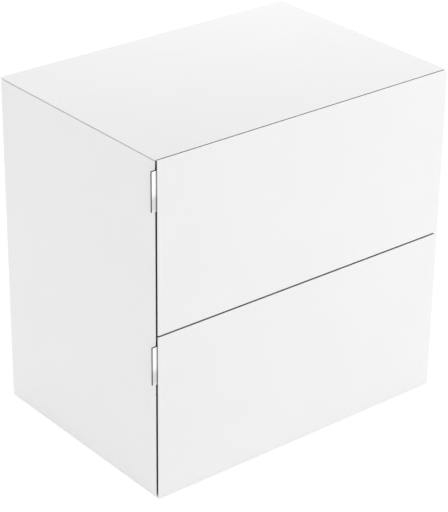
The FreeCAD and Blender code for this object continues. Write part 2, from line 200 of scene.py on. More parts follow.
@dataclass(frozen=True)
class SatinLacquer(Finish):
    """Sprayed polyurethane lacquer on fine fibreboard, rubbed to a satin.

    To the eye it is a flat, neutral white with a soft sheen that strengthens at low angles, and only a trace of the
    ripple that a sprayed film dries to. The mitres behind the edges are painted grey as painted shade, which stands in
    for the shade deep in the gaps, so the gaps between the boards read as fine dark lines.

    Attributes:
        low: The lowest corner of the lacquered case, in metres.
        high: Its highest corner, with no end behind.
        name: The material's name.
        gap_shade_from_mm: How far behind the case's skin the painted gap shade starts to show.
        gap_shade_full_mm: How far behind it the painted gap shade shows in full.
        straight: A face counts as straight where its normal's greatest part is at least this.
        slanted: A face counts as a mitre where that part is at most this. A mitre's own is 0.71.
        sheen_spread: How far the roughness strays to either side.
        ripple_mm: How wide a ripple of the film is.
        cloud_mm: How wide a patch of slightly different tone is.
    """

    low: tuple[float, float, float]
    high: tuple[float, float, float]
    name: str = "Satin white lacquer"
    white: str = "#F0F0F0"
    thin_white: str = "#EDEDED"
    # Painted shade: this grey on the mitres stands in for the shade deep in the gaps between the boards.
    painted_gap_shade: str = "#949492"
    gap_shade_from_mm: float = 1.5
    gap_shade_full_mm: float = 3.0
    straight: float = 0.85
    slanted: float = 0.75
    roughness: float = 0.34
    sheen_spread: float = 0.03
    ripple_mm: float = 5.0
    cloud_mm: float = 160.0
    ripple_depth_mm: float = 0.004
    ior: float = 1.5

    def pattern(self, tree: NodeTree) -> Links:
        """Adds the clouds, the ripple and the sealed mitres.

        Args:
            tree: The material's tree.

        Returns:
            The shader's inputs.
        """
        clouds = add_node(
            tree,
            "ShaderNodeTexNoise",
            {},
            {"Vector": object_place(tree, (1, 1, 1)), "Scale": 1 / (self.cloud_mm * MM), "Detail": 2.0},
        )
        tone = add_node(
            tree,
            "ShaderNodeMix",
            {"data_type": "RGBA"},
            {0: clouds.outputs["Fac"], 6: linear(self.white), 7: linear(self.thin_white)},
        )
        # Painted shade: the mitres take the grey that stands in for the gaps' shade.
        tone_and_gap_shade = add_node(
            tree,
            "ShaderNodeMix",
            {"data_type": "RGBA"},
            {0: self.gap_shade_share(tree), 6: tone.outputs[2], 7: linear(self.painted_gap_shade)},
        )
        sheen = add_node(
            tree,
            "ShaderNodeMapRange",
            {},
            {
                "Value": clouds.outputs["Fac"],
                "To Min": self.roughness - self.sheen_spread,
                "To Max": self.roughness + self.sheen_spread,
            },
        )
        ripple = add_node(
            tree,
            "ShaderNodeTexNoise",
            {},
            {"Vector": object_place(tree, (1, 1, 1)), "Scale": 1 / (self.ripple_mm * MM), "Detail": 1.0},
        )
        bump = add_node(
            tree,
            "ShaderNodeBump",
            {},
            {"Height": ripple.outputs["Fac"], "Distance": self.ripple_depth_mm * MM, "Strength": 1.0},
        )
        return {
            "Base Color": tone_and_gap_shade.outputs[2],
            "Roughness": sheen.outputs["Result"],
            "Normal": bump.outputs["Normal"],
            "IOR": self.ior,
        }

    def gap_shade_share(self, tree: NodeTree) -> NodeSocket:
        """Adds the mask of the painted gap shade: slanting faces that lie behind the case's skin.

        Args:
            tree: The material's tree.

        Returns:
            A socket that is 1 on a mitre and 0 elsewhere.
        """
        place = add_node(tree, "ShaderNodeTexCoord", {}, {})
        above = add_node(
            tree, "ShaderNodeVectorMath", {"operation": "SUBTRACT"}, {0: place.outputs["Object"], 1: self.low}
        )
        below = add_node(
            tree, "ShaderNodeVectorMath", {"operation": "SUBTRACT"}, {0: self.high, 1: place.outputs["Object"]}
        )
        nearer = add_node(
            tree, "ShaderNodeVectorMath", {"operation": "MINIMUM"}, {0: above.outputs[0], 1: below.outputs[0]}
        )
        turned = add_node(tree, "ShaderNodeVectorMath", {"operation": "ABSOLUTE"}, {0: place.outputs["Normal"]})
        depth = self.of_three(tree, Pick.LEAST, nearer.outputs[0])
        straight = self.of_three(tree, Pick.GREATEST, turned.outputs[0])
        gap_shade_depth = add_node(
            tree,
            "ShaderNodeMapRange",
            {},
            {"Value": depth, "From Min": self.gap_shade_from_mm * MM, "From Max": self.gap_shade_full_mm * MM},
        )
        slanting = add_node(
            tree, "ShaderNodeMapRange", {}, {"Value": straight, "From Min": self.straight, "From Max": self.slanted}
        )
        both = add_node(
            tree, "ShaderNodeMath", {"operation": "MULTIPLY"}, {0: gap_shade_depth.outputs[0], 1: slanting.outputs[0]}
        )
        return both.outputs[0]

    @staticmethod
    def of_three(tree: NodeTree, pick: Pick, vector: NodeSocket) -> NodeSocket:
        """Adds the least or the greatest of a vector's three numbers.

        Args:
            tree: The material's tree.
            pick: Which of them.
            vector: The vector.

        Returns:
            The number's socket.
        """
        parts = add_node(tree, "ShaderNodeSeparateXYZ", {}, {"Vector": vector})
        choose = {"operation": pick.value}
        first = add_node(tree, "ShaderNodeMath", choose, {0: parts.outputs[0], 1: parts.outputs[1]})
        last = add_node(tree, "ShaderNodeMath", choose, {0: first.outputs[0], 1: parts.outputs[2]})
        return last.outputs[0]


@dataclass(frozen=True)
class BirchPlywood(Finish):
    """Rotary-cut birch plywood under a matt lacquer.

    Its faces are pale straw with broad, soft waves and short fine pores along the grain. Its edges show the layers,
    light where the grain runs along and brown where it ends.

    Attributes:
        name: The material's name.
        grain: The axis that the grain of the faces runs along.
        layers: The axis that crosses the layers.
        board_mm: The board's thickness.
        start_mm: Where the board starts on the axis that crosses its layers.
        plies: How many layers the edge shows.
        figure_mm: How broad a wave is.
        pore_mm: How broad a pore is. A real one is a tenth of that, which is too fine to show.
        figure_length: How many times as long as broad a wave is.
        figure_bend: How much the waves wander.
        pore_length: How many times as long as broad a pore is.
        pores_from: The noise from which a pore shows.
        pores_full: The noise at which it shows in full.
        pore_strength: How much of its colour it has there.
        face_on: How squarely a surface looks across the layers to be a face and not an edge.
    """

    name: str
    grain: Axis
    layers: Axis
    board_mm: float
    start_mm: float
    plies: int = 5
    light: str = "#EAD6AE"
    dark: str = "#D8B988"
    pore: str = "#B98F5C"
    along_layer: str = "#DFC391"
    end_layer: str = "#A67C4C"
    roughness: float = 0.5
    figure_mm: float = 22.0
    pore_mm: float = 1.4
    figure_length: float = 7.0
    figure_bend: float = 1.2
    pore_length: float = 14.0
    pores_from: float = 0.58
    pores_full: float = 0.75
    pore_strength: float = 0.6
    pore_depth_mm: float = 0.03
    face_on: float = 0.7
    ior: float = 1.5

    def pattern(self, tree: NodeTree) -> Links:
        """Adds the figure, the pores and the layers of the edge.

        Args:
            tree: The material's tree.

        Returns:
            The shader's inputs.
        """
        wide = [1 / (self.figure_mm * MM)] * 3
        fine = [1 / (self.pore_mm * MM)] * 3
        wide[self.grain.value] /= self.figure_length
        fine[self.grain.value] /= self.pore_length
        figure = add_node(
            tree,
            "ShaderNodeTexNoise",
            {},
            {
                "Vector": object_place(tree, tuple(wide)),
                "Scale": 1.0,
                "Detail": 3.0,
                "Distortion": self.figure_bend,
            },
        )
        pores = add_node(
            tree, "ShaderNodeTexNoise", {}, {"Vector": object_place(tree, tuple(fine)), "Scale": 1.0, "Detail": 2.0}
        )
        wood = add_node(
            tree,
            "ShaderNodeMix",
            {"data_type": "RGBA"},
            {0: figure.outputs["Fac"], 6: linear(self.light), 7: linear(self.dark)},
        )
        pore_share = add_node(
            tree,
            "ShaderNodeMapRange",
            {},
            {
                "Value": pores.outputs["Fac"],
                "From Min": self.pores_from,
                "From Max": self.pores_full,
                "To Max": self.pore_strength,
            },
        )
        face = add_node(
            tree,
            "ShaderNodeMix",
            {"data_type": "RGBA"},
            {0: pore_share.outputs["Result"], 6: wood.outputs[2], 7: linear(self.pore)},
        )
        # Five layers stand for the nine of a real board, which would blur into one tone at this size of picture.
        place = add_node(tree, "ShaderNodeTexCoord", {}, {})
        parts = add_node(tree, "ShaderNodeSeparateXYZ", {}, {"Vector": place.outputs["Object"]})
        depth = add_node(
            tree,
            "ShaderNodeMath",
            {"operation": "SUBTRACT"},
            {0: parts.outputs[self.layers.value], 1: self.start_mm * MM},
        )
        count = add_node(
            tree,
            "ShaderNodeMath",
            {"operation": "MULTIPLY"},
            {0: depth.outputs[0], 1: self.plies / (self.board_mm * MM)},
        )
        halves = add_node(tree, "ShaderNodeMath", {"operation": "MODULO"}, {0: count.outputs[0], 1: 2.0})
        ended = add_node(tree, "ShaderNodeMath", {"operation": "GREATER_THAN"}, {0: halves.outputs[0], 1: 1.0})
        band = add_node(
            tree,
            "ShaderNodeMix",
            {"data_type": "RGBA"},
            {0: ended.outputs[0], 6: linear(self.along_layer), 7: linear(self.end_layer)},
        )
        edge = add_node(
            tree,
            "ShaderNodeMix",
            {"data_type": "RGBA"},
            {0: pore_share.outputs["Result"], 6: band.outputs[2], 7: linear(self.pore)},
        )
        facing = add_node(tree, "ShaderNodeSeparateXYZ", {}, {"Vector": place.outputs["Normal"]})
        across = add_node(
            tree, "ShaderNodeMath", {"operation": "ABSOLUTE"}, {0: facing.outputs[self.layers.value]}
        )
        is_face = add_node(
            tree, "ShaderNodeMath", {"operation": "GREATER_THAN"}, {0: across.outputs[0], 1: self.face_on}
        )
        colour = add_node(
            tree,
            "ShaderNodeMix",
            {"data_type": "RGBA"},
            {0: is_face.outputs[0], 6: edge.outputs[2], 7: face.outputs[2]},
        )
        bump = add_node(
            tree,
            "ShaderNodeBump",
            {},
            {"Height": pores.outputs["Fac"], "Distance": self.pore_depth_mm * MM, "Strength": 1.0},
        )
        return {
            "Base Color": colour.outputs[2],
            "Roughness": self.roughness,
            "Normal": bump.outputs["Normal"],
            "IOR": self.ior,
        }


@dataclass(frozen=True)
class PressedBeech(Finish):
    """Compressed beech, sawn into thin biscuits: pinkish brown with short darker flecks across its face.

    Attributes:
        fleck_mm: How broad a fleck is.
        fleck_ratio: How broad it is for each millimetre of its length.
    """

    name: str = "Pressed beech"
    light: str = "#D2AE84"
    dark: str = "#B0855A"
    fleck_mm: float = 1.2
    fleck_ratio: float = 0.3
    roughness: float = 0.6
    ior: float = 1.5

    def pattern(self, tree: NodeTree) -> Links:
        """Adds the flecks.

        Args:
            tree: The material's tree.

        Returns:
            The shader's inputs.
        """
        stretch = (self.fleck_ratio / (self.fleck_mm * MM), 1 / (self.fleck_mm * MM), 1 / (self.fleck_mm * MM))
        flecks = add_node(
            tree, "ShaderNodeTexNoise", {}, {"Vector": object_place(tree, stretch), "Scale": 1.0, "Detail": 3.0}
        )
        tone = add_node(
            tree,
            "ShaderNodeMix",
            {"data_type": "RGBA"},
            {0: flecks.outputs["Fac"], 6: linear(self.light), 7: linear(self.dark)},
        )
        return {"Base Color": tone.outputs[2], "Roughness": self.roughness, "IOR": self.ior}


@dataclass(frozen=True)
class WorkedSteel(Finish):
    """A steel surface with the fine lines that its making leaves along one axis.

    The lines spread a highlight across them, and the patches give plated or rolled steel its slightly uneven tone.

    Attributes:
        name: The material's name.
        bright: The colour of its brightest patches.
        dull: The colour of its dullest patches.
        lines: The axis that the lines run along.
        line_mm: How broad a line is. A real one is too fine to show.
        patch_mm: How wide a patch is.
        roughness: The middle roughness.
        unevenness: How far it strays to either side.
        line_length: How many times as long as broad a line is.
        faint: The noise that gives the smoothest line.
        deep: The noise that gives the roughest line.
    """

    name: str
    bright: str
    dull: str
    lines: Axis
    line_mm: float
    patch_mm: float
    roughness: float
    unevenness: float
    line_length: float = 40.0
    line_depth_mm: float = 0.002
    faint: float = 0.3
    deep: float = 0.7

    def pattern(self, tree: NodeTree) -> Links:
        """Adds the lines and the patches.

        Args:
            tree: The material's tree.

        Returns:
            The shader's inputs.
        """
        stretch = [1 / (self.line_mm * MM)] * 3
        stretch[self.lines.value] /= self.line_length
        lines = add_node(
            tree, "ShaderNodeTexNoise", {}, {"Vector": object_place(tree, tuple(stretch)), "Scale": 1.0, "Detail": 2.0}
        )
        patches = add_node(
            tree,
            "ShaderNodeTexNoise",
            {},
            {"Vector": object_place(tree, (1, 1, 1)), "Scale": 1 / (self.patch_mm * MM), "Detail": 3.0},
        )
        tone = add_node(
            tree,
            "ShaderNodeMix",
            {"data_type": "RGBA"},
            {0: patches.outputs["Fac"], 6: linear(self.bright), 7: linear(self.dull)},
        )
        rough = add_node(
            tree,
            "ShaderNodeMapRange",
            {},
            {
                "Value": lines.outputs["Fac"],
                "From Min": self.faint,
                "From Max": self.deep,
                "To Min": self.roughness - self.unevenness,
                "To Max": self.roughness + self.unevenness,
            },
        )
        bump = add_node(
            tree,
            "ShaderNodeBump",
            {},
            {"Height": lines.outputs["Fac"], "Distance": self.line_depth_mm * MM, "Strength": 1.0},
        )
        return {
            "Base Color": tone.outputs[2],
            "Roughness": rough.outputs["Result"],
            "Normal": bump.outputs["Normal"],
            "Metallic": 1.0,
        }


@dataclass(frozen=True)
class PolishedTab(Finish):
    """Stainless plate with a mirror-polished face and laser-cut edges.

    The face is a bright grey mirror with a painted reflection in its colour: bright in its upper part and greyer lower
    down. The cut edges are dark and dull, partly the oxide of the cut and partly painted shade, and a hair's breadth
    of the face along its free end and its top is painted dark as painted shade, so they draw the tab's outline. Where
    the plate enters the gap beside the drawer front, the face is painted dark grey as painted shade, and the back
    keeps the mill's dull grey.

    Attributes:
        name: The material's name.
        low: The tab's lowest corner, in metres.
        high: Its highest corner, in metres.
        painted_reflection_tones: The mirror's colour at each share of the tab's height, from its foot; a painted
            reflection, bright above and greyer below.
        edge_facing: How squarely a surface looks along an axis to be a cut edge or the back.
        painted_outline_mm: How wide the painted shade along the face's free end and its top is.
        unshaded_reach_mm: How far in from its free end the face keeps its mirror; past it the face carries painted
            shade.
        line_mm: How broad a polishing line is. A real one is too fine to show.
        line_ratio: How broad it is for each millimetre of its length.
    """

    name: str
    low: Vector
    high: Vector
    # Painted reflection: the mirror's colour runs from grey low down to bright near the top.
    painted_reflection_tones: tuple[tuple[float, str], ...] = ((0.0, "#EAEAE8"), (0.08, "#D8D8D6"), (0.3, "#DADAD8"), (0.46, "#FBFBFA"))
    # Partly the cut's oxide and partly painted shade, which draws the tab's outline.
    edge: str = "#232322"
    edge_facing: float = 0.8
    painted_outline_mm: float = 0.7
    unshaded_reach_mm: float = 9.5
    # Painted shade: the colour of the face where it goes into the gap.
    painted_tab_gap_shade: str = "#666664"
    mill: str = "#C0C0BD"
    roughness: float = 0.13
    edge_roughness: float = 0.5
    line_mm: float = 0.6
    line_ratio: float = 0.03
    line_depth_mm: float = 0.001

    def pattern(self, tree: NodeTree) -> Links:
        """Adds the painted reflection, the dark cut edges with their painted shade, the painted gap shade and the
        mill's grey behind.

        Args:
            tree: The material's tree.

        Returns:
            The shader's inputs.
        """
        place = add_node(tree, "ShaderNodeTexCoord", {}, {})
        where = add_node(tree, "ShaderNodeSeparateXYZ", {}, {"Vector": place.outputs["Object"]})
        share = add_node(
            tree,
            "ShaderNodeMapRange",
            {},
            {"Value": where.outputs["Z"], "From Min": self.low.z, "From Max": self.high.z},
        )
        # Painted reflection: a ramp up the tab's height sets the mirror's colour.
        painted_reflection = add_node(tree, "ShaderNodeValToRGB", {}, {"Fac": share.outputs["Result"]})
        stops = painted_reflection.color_ramp.elements
        while len(stops) < len(self.painted_reflection_tones):
            stops.new(1.0)
        for stop, (position, colour) in zip(stops, self.painted_reflection_tones):
            stop.position, stop.color = position, linear(colour)
        facing = add_node(tree, "ShaderNodeSeparateXYZ", {}, {"Vector": place.outputs["Normal"]})
        level = add_node(tree, "ShaderNodeMath", {"operation": "ABSOLUTE"}, {0: facing.outputs["Z"]})
        aside = add_node(tree, "ShaderNodeMath", {"operation": "ABSOLUTE"}, {0: facing.outputs["X"]})
        most = add_node(tree, "ShaderNodeMath", {"operation": "MAXIMUM"}, {0: level.outputs[0], 1: aside.outputs[0]})
        edge_on = add_node(
            tree, "ShaderNodeMath", {"operation": "GREATER_THAN"}, {0: most.outputs[0], 1: self.edge_facing}
        )
        # Painted shade: a hair's breadth of the face along its free end and its top takes the edges' dark colour.
        shade_by_end = add_node(
            tree,
            "ShaderNodeMath",
            {"operation": "LESS_THAN"},
            {0: where.outputs["X"], 1: self.low.x + self.painted_outline_mm * MM},
        )
        shade_by_top = add_node(
            tree,
            "ShaderNodeMath",
            {"operation": "GREATER_THAN"},
            {0: where.outputs["Z"], 1: self.high.z - self.painted_outline_mm * MM},
        )
        rim = add_node(tree, "ShaderNodeMath", {"operation": "MAXIMUM"}, {0: shade_by_end.outputs[0], 1: shade_by_top.outputs[0]})
        cut = add_node(tree, "ShaderNodeMath", {"operation": "MAXIMUM"}, {0: edge_on.outputs[0], 1: rim.outputs[0]})
        # Painted shade: past this reach from the free end the face turns dark grey in the gap.
        in_tab_gap_shade = add_node(
            tree,
            "ShaderNodeMath",
            {"operation": "GREATER_THAN"},
            {0: where.outputs["X"], 1: self.low.x + self.unshaded_reach_mm * MM},
        )
        face = add_node(
            tree,
            "ShaderNodeMix",
            {"data_type": "RGBA"},
            {0: in_tab_gap_shade.outputs[0], 6: painted_reflection.outputs["Color"], 7: linear(self.painted_tab_gap_shade)},
        )
        behind = add_node(
            tree, "ShaderNodeMath", {"operation": "GREATER_THAN"}, {0: facing.outputs["Y"], 1: self.edge_facing}
        )
        plate = add_node(
            tree,
            "ShaderNodeMix",
            {"data_type": "RGBA"},
            {0: behind.outputs[0], 6: face.outputs[2], 7: linear(self.mill)},
        )
        tone = add_node(
            tree,
            "ShaderNodeMix",
            {"data_type": "RGBA"},
            {0: cut.outputs[0], 6: plate.outputs[2], 7: linear(self.edge)},
        )
        dull = add_node(tree, "ShaderNodeMath", {"operation": "MAXIMUM"}, {0: cut.outputs[0], 1: behind.outputs[0]})
        rough = add_node(
            tree,
            "ShaderNodeMapRange",
            {},
            {"Value": dull.outputs[0], "To Min": self.roughness, "To Max": self.edge_roughness},
        )
        stretch = (1 / (self.line_mm * MM), 1 / (self.line_mm * MM), self.line_ratio / (self.line_mm * MM))
        lines = add_node(
            tree, "ShaderNodeTexNoise", {}, {"Vector": object_place(tree, stretch), "Scale": 1.0, "Detail": 2.0}
        )
        bump = add_node(
            tree,
            "ShaderNodeBump",
            {},
            {"Height": lines.outputs["Fac"], "Distance": self.line_depth_mm * MM, "Strength": 1.0},
        )
        return {
            "Base Color": tone.outputs[2],
            "Roughness": rough.outputs["Result"],
            "Normal": bump.outputs["Normal"],
            "Metallic": 1.0,
        }


@dataclass(frozen=True)
class MouldedNylon(Finish):
    """Injection-moulded nylon: milky light grey with a fine spark-eroded texture and a soft, waxy sheen.

    Attributes:
        texture_mm: How wide a grain of the texture is. A real one is too fine to show.
    """

    name: str = "Moulded nylon"
    light: str = "#DADAD5"
    dark: str = "#CFCFC9"
    texture_mm: float = 0.8
    texture_depth_mm: float = 0.02
    roughness: float = 0.42
    ior: float = 1.53

    def pattern(self, tree: NodeTree) -> Links:
        """Adds the grit that the mould leaves.

        Args:
            tree: The material's tree.

        Returns:
            The shader's inputs.
        """
        grit = add_node(
            tree,
            "ShaderNodeTexNoise",
            {},
            {"Vector": object_place(tree, (1, 1, 1)), "Scale": 1 / (self.texture_mm * MM), "Detail": 2.0},
        )
        tone = add_node(
            tree,
            "ShaderNodeMix",
            {"data_type": "RGBA"},
            {0: grit.outputs["Fac"], 6: linear(self.light), 7: linear(self.dark)},
        )
        bump = add_node(
            tree,
            "ShaderNodeBump",
            {},
            {"Height": grit.outputs["Fac"], "Distance": self.texture_depth_mm * MM, "Strength": 1.0},
        )
        return {
            "Base Color": tone.outputs[2],
            "Roughness": self.roughness,
            "Normal": bump.outputs["Normal"],
            "IOR": self.ior,
        }


def dress(names: list[str], finish: Material) -> None:
    """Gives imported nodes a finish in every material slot.

    Args:
        names: The nodes' names.
        finish: The material.
    """
    for name in names:
        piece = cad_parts[name]
        for place in piece.material_slots:
            place.material = finish
        LOG.info("%s: %s", name, finish.name)


@dataclass
class Finishes:
    """Every finish of the sideboard, built once.

    Attributes:
        board_mm: How thick the drawer box's sides and ends are.
        thin_board_mm: How thick its bottom is.
    """

    board_mm: float = 12.0
    thin_board_mm: float = 6.0

    def __post_init__(self) -> None:
        """Builds the materials."""
        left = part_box("upper_drawer_left_side")[0].x / MM
        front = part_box("upper_drawer_inner_front")[0].y / MM
        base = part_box("upper_drawer_bottom")[0].z / MM
        low = (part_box("left_side_panel")[0].x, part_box("upper_drawer_front")[0].y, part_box("bottom_panel")[0].z)
        high = (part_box("right_side_panel")[1].x, 1.0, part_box("top_panel")[1].z)
        self.lacquer = SatinLacquer(low, high).build()
        self.back = SatinLacquer(
            low, high, "Satin white back board", "#ECECEC", "#E8E8E8", roughness=0.5, ripple_mm=2.0, cloud_mm=60.0
        ).build()
        self.side_birch = BirchPlywood("Birch plywood sides", Axis.Y, Axis.X, self.board_mm, left).build()
        self.end_birch = BirchPlywood("Birch plywood ends", Axis.X, Axis.Y, self.board_mm, front).build()
        self.thin_birch = BirchPlywood("Thin birch plywood", Axis.X, Axis.Z, self.thin_board_mm, base, 3).build()
        self.beech = PressedBeech().build()
        steels = (
            ("Plain stainless steel", "#C9C9C6", "#B9B9B6", Axis.Z, 0.4, 6.0, 0.28, 0.05),
            ("Bright zinc plate", "#C9CCD2", "#AEB2B8", Axis.Z, 0.4, 5.0, 0.26, 0.06),
            ("Zinc plated rolled steel", "#C4C8CC", "#ABB0B5", Axis.Y, 0.9, 25.0, 0.3, 0.07),
            ("Bearing steel", "#C2C3C5", "#A4A5A8", Axis.Y, 0.5, 8.0, 0.18, 0.05),
        )
        self.stainless, self.zinc, self.rolled, self.bearing = (WorkedSteel(*steel).build() for steel in steels)
        self.nylon = MouldedNylon().build()


@dataclass
class Case:
    """The still part: the mitred boards, the back in its rebate, the glides and what is fixed to them.

    Attributes:
        finishes: The finishes to use.
    """

    finishes: Finishes

    def dress(self) -> None:
        """Gives the case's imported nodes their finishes."""
        finishes = self.finishes
        dress(["top_panel", "bottom_panel", "left_side_panel", "right_side_panel"], finishes.lacquer)
        dress(["back_panel"], finishes.back)
        dress(["top_corner_biscuits", "bottom_corner_biscuits"], finishes.beech)
        dress(["floor_glides", "runner_bumpers"], finishes.nylon)


@dataclass
class Drawer:
    """One drawer: its lacquered front with the grip tab, and its finger-jointed birch box.

    Attributes:
        level: Which drawer.
        finishes: The finishes to use.
    """

    level: Level
    finishes: Finishes

    def dress(self) -> None:
        """Gives the drawer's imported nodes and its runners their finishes."""
        finishes = self.finishes
        name = self.level.value
        dress([f"{name}_drawer_front"], finishes.lacquer)
        tab = f"{name}_grip_tab"
        dress([tab], PolishedTab(f"Polished stainless steel, {name}", *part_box(tab)).build())
        dress([f"{name}_grip_tab_screws"], finishes.stainless)
        dress([f"{name}_drawer_left_side", f"{name}_drawer_right_side"], finishes.side_birch)
        dress([f"{name}_drawer_inner_front", f"{name}_drawer_back"], finishes.end_birch)
        dress([f"{name}_drawer_bottom"], finishes.thin_birch)
        for hand in Hand:
            members = ("cabinet_runner", "intermediate_runner", "drawer_runner")
            dress([f"{name}_{hand.value}_{member}" for member in members], finishes.rolled)
            dress([f"{name}_{hand.value}_{cage}_ball_cage" for cage in ("outer", "inner")], finishes.bearing)


@dataclass(frozen=True)
class Box:
    """The lowest and highest corner of one solid, in metres."""

    low: Vector
    high: Vector

    @property
    def middle(self) -> Vector:
        """The middle of the box."""
        return (self.low + self.high) / 2


def solids_of(name: str) -> list[Box]:
    """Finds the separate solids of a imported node.

    Args:
        name: The node's name.

    Returns:
        The box round each solid, from left to right, front to back and bottom to top, by tenths of a millimetre.
    """
    mesh = bmesh.new()
    mesh.from_mesh(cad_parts[name].data)
    bmesh.ops.remove_doubles(mesh, verts=mesh.verts, dist=MERGE_MM * MM)
    left, found = set(mesh.verts), []
    while left:
        todo, solid = [left.pop()], []
        while todo:
            vertex = todo.pop()
            solid.append(vertex.co.copy())
            fresh = [e.other_vert(vertex) for e in vertex.link_edges if e.other_vert(vertex) in left]
            left.difference_update(fresh)
            todo.extend(fresh)
        found.append(
            Box(
                Vector([min(p[i] for p in solid) for i in range(3)]),
                Vector([max(p[i] for p in solid) for i in range(3)]),
            )
        )
    mesh.free()
    return sorted(found, key=lambda b: [round(c, 4) for c in b.middle])


@dataclass(frozen=True)
class Screw:
    """A cross-recessed screw, in millimetres, made round Z with its head face up at z = 0.

    Attributes:
        head: The head's diameter.
        shank: The plain shank's diameter.
        length: The whole length below z = 0.
        shape: The head's shape.
        rim: How tall a countersunk head's upright edge is.
        edge_break: How far the edge of its face is taken off.
        dome: How far a pan head stands above z = 0.
        dome_wall: The share of that height that its upright wall takes.
        dome_steps: How many steps its outline has above the wall.
        plain: How much of the shank is plain, between the head and the thread.
        plain_step: The last part of that, which narrows to the thread's core.
        pitch: The thread's rise in one turn.
        thread_height: How far the thread stands off its core.
        recess_reach: The cross recess from end to end, at its mouth.
        recess_width: How wide its arms are there.
        foot_reach: The same length at its foot.
        foot_width: The same width at its foot.
        recess_depth: How deep it is.
        cutter_proud: How far its cutter stands above the head.
        recess_turn: Its turn in degrees, so that its corners miss the head's spokes and the cut leaves no slivers.
        segments: How many sides the screw has.
    """

    head: float
    shank: float
    length: float
    shape: Head = Head.COUNTERSUNK
    rim: float = 0.3
    edge_break: float = 0.1
    dome: float = 0.0
    dome_wall: float = 0.45
    dome_steps: int = 6
    plain: float = 2.0
    plain_step: float = 0.5
    pitch: float = 1.8
    thread_height: float = 0.35
    recess_reach: float = 3.4
    recess_width: float = 0.9
    foot_reach: float = 1.36
    foot_width: float = 0.45
    recess_depth: float = 1.8
    cutter_proud: float = 0.5
    recess_turn: float = 4.0
    segments: int = 32

    @property
    def neck(self) -> float:
        """How deep a countersunk head of this size reaches."""
        return self.rim + (self.head - self.shank) / 2

    @property
    def core(self) -> float:
        """The radius of the thread's core."""
        return self.shank / 2 - self.thread_height

    @property
    def thread_foot(self) -> float:
        """The height at which the thread ends and the point starts."""
        return -(self.length - self.shank)

    @property
    def thread_length(self) -> float:
        """How far the thread runs along the shank."""
        return self.length - self.shank - (self.neck + self.plain)

    def profile(self) -> list[tuple[float, float]]:
        """Draws the outline from the head's middle to the point.

        Returns:
            The radius and the height of each corner.
        """
        edge, shank = self.head / 2, self.shank / 2
        if self.shape is Head.PAN:
            slopes = [math.radians(90 * i / self.dome_steps) for i in range(self.dome_steps + 1)]
            wall, crown = self.dome_wall, 1 - self.dome_wall
            head = [(edge * math.sin(a), self.dome * (wall + crown * math.cos(a))) for a in slopes]
            head += [(edge, 0.0), (shank, 0.0)]
        else:
            head = [(0.0, 0.0), (edge - self.edge_break, 0.0), (edge, -self.edge_break)]
            head += [(edge, -self.rim), (shank, -self.neck)]
        thread_top = -self.neck - self.plain
        foot = [(self.core, thread_top), (self.core, self.thread_foot), (0.0, -self.length)]
        return head + [(shank, thread_top + self.plain_step)] + foot

    def blank(self) -> Object:
        """Turns the outline and cuts the cross recess, both in millimetres.

        Returns:
            An object whose mesh is the screw without its thread, in metres.
        """
        mesh = bmesh.new()
        rows = []
        for radius, height in self.profile():
            if radius == 0.0:
                rows.append([mesh.verts.new((0, 0, height))] * self.segments)
            else:
                turns = [math.tau * i / self.segments for i in range(self.segments)]
                rows.append([mesh.verts.new((radius * math.cos(t), radius * math.sin(t), height)) for t in turns])
        for upper, lower in zip(rows, rows[1:]):
            for i in range(self.segments):
                j = (i + 1) % self.segments
                corners = dict.fromkeys((upper[i], lower[i], lower[j], upper[j]))
                mesh.faces.new(list(corners))
        bmesh.ops.recalc_face_normals(mesh, faces=mesh.faces)
        body = new_piece("screw_blank", mesh)
        cutter = self.cross()
        cut = body.modifiers.new("Cross recess", "BOOLEAN")
        cut.operation, cut.object, cut.solver = "DIFFERENCE", cutter, "EXACT"
        cut_body = frozen_copy(body, "screw_blank_cut")
        cut_body.data.transform(Matrix.Scale(MM, 4))
        for helper in (body, cutter):
            bpy.data.objects.remove(helper)
        return cut_body

    def cross(self) -> Object:
        """Makes the cross-shaped cutter, which narrows to its foot.

        Returns:
            An object with the cutter, in millimetres.
        """
        mesh = bmesh.new()
        rings = []
        for reach, width, height in (
            (self.recess_reach, self.recess_width, self.dome + self.cutter_proud),
            (self.foot_reach, self.foot_width, self.dome - self.recess_depth),
        ):
            end, half = reach / 2, width / 2
            arm = [(end, -half), (end, half), (half, half)]
            spins = [Matrix.Rotation(math.radians(self.recess_turn + t), 4, "Z") for t in (0, 90, 180, 270)]
            rings.append([mesh.verts.new(spin @ Vector((x, y, height))) for spin in spins for x, y in arm])
        high, low = rings
        mesh.faces.new(high)
        mesh.faces.new(low[::-1])
        for i, corner in enumerate(high):
            j = (i + 1) % len(high)
            mesh.faces.new((high[j], corner, low[i], low[j]))
        bmesh.ops.recalc_face_normals(mesh, faces=mesh.faces)
        return new_piece("screw_cross", mesh)


def new_piece(name: str, mesh: bmesh.types.BMesh) -> Object:
    """Makes an object at the origin from a mesh that is then freed.

    Args:
        name: The object's name.
        mesh: Its mesh.

    Returns:
        The object, linked to the scene.
    """
    data = bpy.data.meshes.new(name)
    mesh.to_mesh(data)
    mesh.free()
    piece = bpy.data.objects.new(name, data)
    bpy.context.scene.collection.objects.link(piece)
    return piece


def frozen_copy(piece: Object, name: str) -> Object:
    """Makes a plain mesh of an object as its modifiers leave it.

    Args:
        piece: The object.
        name: The new object's name.

    Returns:
        A new object with that mesh and no modifiers.
    """
    graph = bpy.context.evaluated_depsgraph_get()
    data = bpy.data.meshes.new_from_object(piece.evaluated_get(graph))
    data.name = name
    made = bpy.data.objects.new(name, data)
    bpy.context.scene.collection.objects.link(made)
    return made


